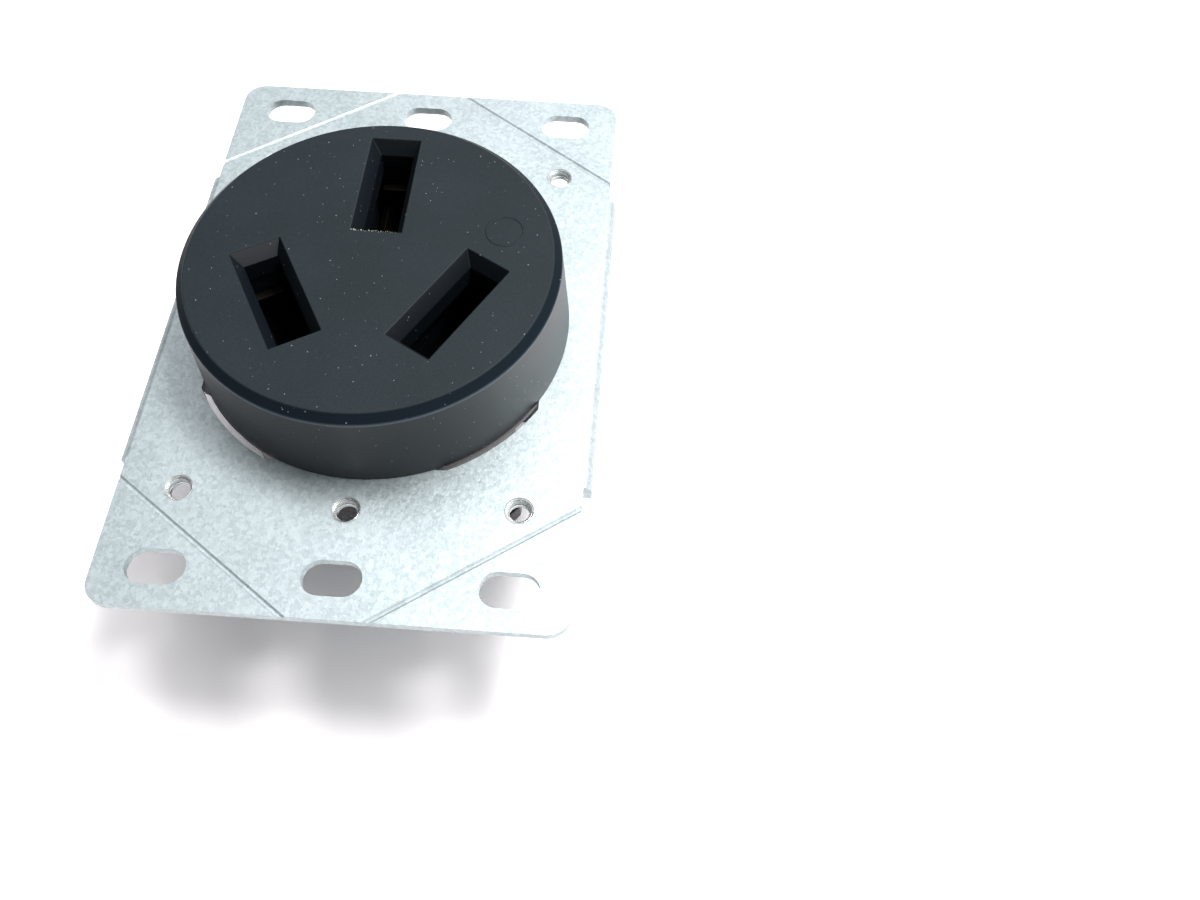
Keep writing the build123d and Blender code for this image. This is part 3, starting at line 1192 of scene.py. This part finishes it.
@dataclass(frozen=True)
class Lamp:
    """Soft rectangular lamp that looks at the object."""

    name: str
    place: tuple[float, float, float]
    size: tuple[float, float]
    power: float

    def build(self) -> None:
        """Set up the lamp."""
        data = bpy.data.lights.new(self.name, "AREA")
        data.shape = "RECTANGLE"
        data.size, data.size_y = (side * MM for side in self.size)
        data.energy = self.power
        lamp = bpy.data.objects.new(self.name, data)
        place = Vector(self.place) * MM
        lamp.location = place
        lamp.rotation_euler = (-place).to_track_quat("-Z", "Y").to_euler()
        bpy.context.scene.collection.objects.link(lamp)


@dataclass(frozen=True)
class Sky:
    """Surroundings of the table, as levels of light over the direction looked in.

    The spans run along the direction's X (right), Y (away from the viewer) and Z (up).
    """

    colour: str = "#F9FBFE"
    horizon: float = 0.4
    middle: float = 0.42
    top: float = 0.95
    middle_span: tuple[float, float] = (0.2, 0.55)
    top_span: tuple[float, float] = (0.78, 0.97)
    left_share: float = 0.38
    right_share: float = 1.2
    side_span: tuple[float, float] = (-0.55, 0.35)
    viewer: float = 0.06
    viewer_slant: float = 0.35
    viewer_span: tuple[float, float] = (0.0, -0.35)
    viewer_foot: tuple[float, float] = (0.08, 0.26)
    viewer_crown: tuple[float, float] = (0.99, 0.9)
    backdrop: str = "#FFFFFF"
    patches: tuple[SkyPatch, ...] = (
        SkyPatch((0.5, -0.86, 0.1), 0.87, 0.98, 1.3),
        SkyPatch((0.62, -0.15, 0.77), 0.89, 0.98, 1.2),
        SkyPatch((-0.08, 0.42, 0.9), 0.88, 0.99, 0.75),
        SkyPatch((0.06, 0.56, 0.83), 0.84, 0.99, 1.1),
    )

    def level(self, tree: bpy.types.NodeTree) -> Socket:
        """Work out the level of light of every direction.

        Args:
            tree: Node tree of the surroundings.

        Returns:
            Socket with the level.
        """
        way = add_node(tree, "ShaderNodeTexCoord").outputs["Generated"]
        axes = add_node(tree, "ShaderNodeSeparateXYZ", None, {0: way}).outputs
        slanted = maths(tree, "MULTIPLY_ADD", axes["X"], -self.viewer_slant, axes["Z"])
        behind = ramp(tree, axes["Y"], self.viewer_span, smooth=True)
        above = ramp(tree, slanted, self.viewer_foot, smooth=True)
        below = ramp(tree, axes["Z"], self.viewer_crown, smooth=True)
        dark = maths(tree, "MULTIPLY", behind, maths(tree, "MULTIPLY", above, below))
        lower = ramp(tree, axes["Z"], self.middle_span, (self.horizon, self.middle), smooth=True)
        upper = ramp(tree, axes["Z"], self.top_span, (0.0, self.top - self.middle), smooth=True)
        shares = (self.left_share, self.right_share)
        side = ramp(tree, axes["X"], self.side_span, shares, smooth=True)
        even = maths(tree, "MULTIPLY", maths(tree, "ADD", lower, upper), side)
        level = add_node(
            tree, "ShaderNodeMix", {"data_type": "FLOAT"}, {0: dark, 2: even, 3: self.viewer}
        ).outputs[0]
        for patch in self.patches:
            level = patch.added_to(tree, way, level)
        return level

    def build(self) -> None:
        """Put up the surroundings, with a plain white backdrop for the camera itself."""
        world = bpy.data.worlds.new("surroundings")
        world.use_nodes = True
        tree = world.node_tree
        tree.nodes.clear()
        light = add_node(
            tree,
            "ShaderNodeBackground",
            None,
            {"Color": linear(self.colour), "Strength": self.level(tree)},
        )
        white = add_node(tree, "ShaderNodeBackground", None, {"Color": linear(self.backdrop)})
        rays = add_node(tree, "ShaderNodeLightPath")
        chosen = add_node(
            tree,
            "ShaderNodeMixShader",
            None,
            {0: rays.outputs["Is Camera Ray"], 1: light.outputs[0], 2: white.outputs[0]},
        )
        add_node(tree, "ShaderNodeOutputWorld", None, {0: chosen.outputs[0]})
        bpy.context.scene.world = world


@dataclass
class Studio:
    """Camera, floor, surroundings and lamps."""

    camera_place: tuple[float, float, float] = (37.23, -96.44, 132.31)
    camera_aim: tuple[float, float, float] = (33.58, -28.07, 15.17)
    camera_roll: float = 1.142
    lens: float = 33.03
    sensor: float = 36.0
    clips: tuple[float, float] = (5.0, 10000.0)
    floor_level: float = -28.03
    floor_size: float = 3000.0
    floor_colour: str = "#F9F4F4"
    floor_gain: float = 1.45
    sky: Sky = field(default_factory=Sky)
    lamps: tuple[Lamp, ...] = (
        Lamp("window", (310.0, 155.0, 720.0), (340.0, 190.0), 5.8),
    )

    def make_camera(self) -> None:
        """Camera at the photograph's place, turn and angle of view."""
        data = bpy.data.cameras.new("camera")
        data.lens = self.lens
        data.sensor_width = self.sensor
        data.sensor_fit = "HORIZONTAL"
        data.clip_start, data.clip_end = (reach * MM for reach in self.clips)
        camera = bpy.data.objects.new("camera", data)
        place, aim = Vector(self.camera_place) * MM, Vector(self.camera_aim) * MM
        turn = (aim - place).to_track_quat("-Z", "Y")
        turn = turn @ Quaternion((0.0, 0.0, 1.0), radians(self.camera_roll))
        camera.location = place
        camera.rotation_euler = turn.to_euler()
        bpy.context.scene.collection.objects.link(camera)
        bpy.context.scene.camera = camera

    def make_floor(self) -> None:
        """White paper floor, overexposed so that only the core of the shadow shows."""
        material, tree = material_tree("white_paper")
        rays = add_node(tree, "ShaderNodeLightPath").outputs
        seen = maths(tree, "MAXIMUM", rays["Is Camera Ray"], rays["Is Glossy Ray"])
        gain = ramp(tree, seen, ends=(1.0, self.floor_gain))
        tone = scaled(tree, self.floor_colour, gain)
        paper = add_node(tree, "ShaderNodeBsdfDiffuse", None, {"Color": tone})
        add_node(tree, "ShaderNodeOutputMaterial", None, {0: paper.outputs[0]})
        half, level = self.floor_size / 2 * MM, self.floor_level * MM
        corners = [(sx * half, sy * half, level) for sx, sy in ((-1, -1), (1, -1), (1, 1), (-1, 1))]
        mesh = bpy.data.meshes.new("floor")
        mesh.from_pydata(corners, [], [(0, 1, 2, 3)])
        mesh.materials.append(material)
        floor = bpy.data.objects.new("floor", mesh)
        bpy.context.scene.collection.objects.link(floor)

    def build(self) -> None:
        """Set up the whole studio."""
        self.make_camera()
        self.make_floor()
        self.sky.build()
        for lamp in self.lamps:
            lamp.build()
        bpy.context.scene.view_settings.view_transform = "Standard"


def main() -> None:
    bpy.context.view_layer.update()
    parts = (
        Studio(),
        FaceCover(),
        MountingStrap(),
        MouldedBody(),
        Terminals(),
        AssemblyScrews(),
    )
    for part in parts:
        part.build()
        log.info("%s done", type(part).__name__)


if __name__ == "__main__":
    logging.basicConfig(level=logging.INFO, format="%(name)s: %(message)s")
    main()
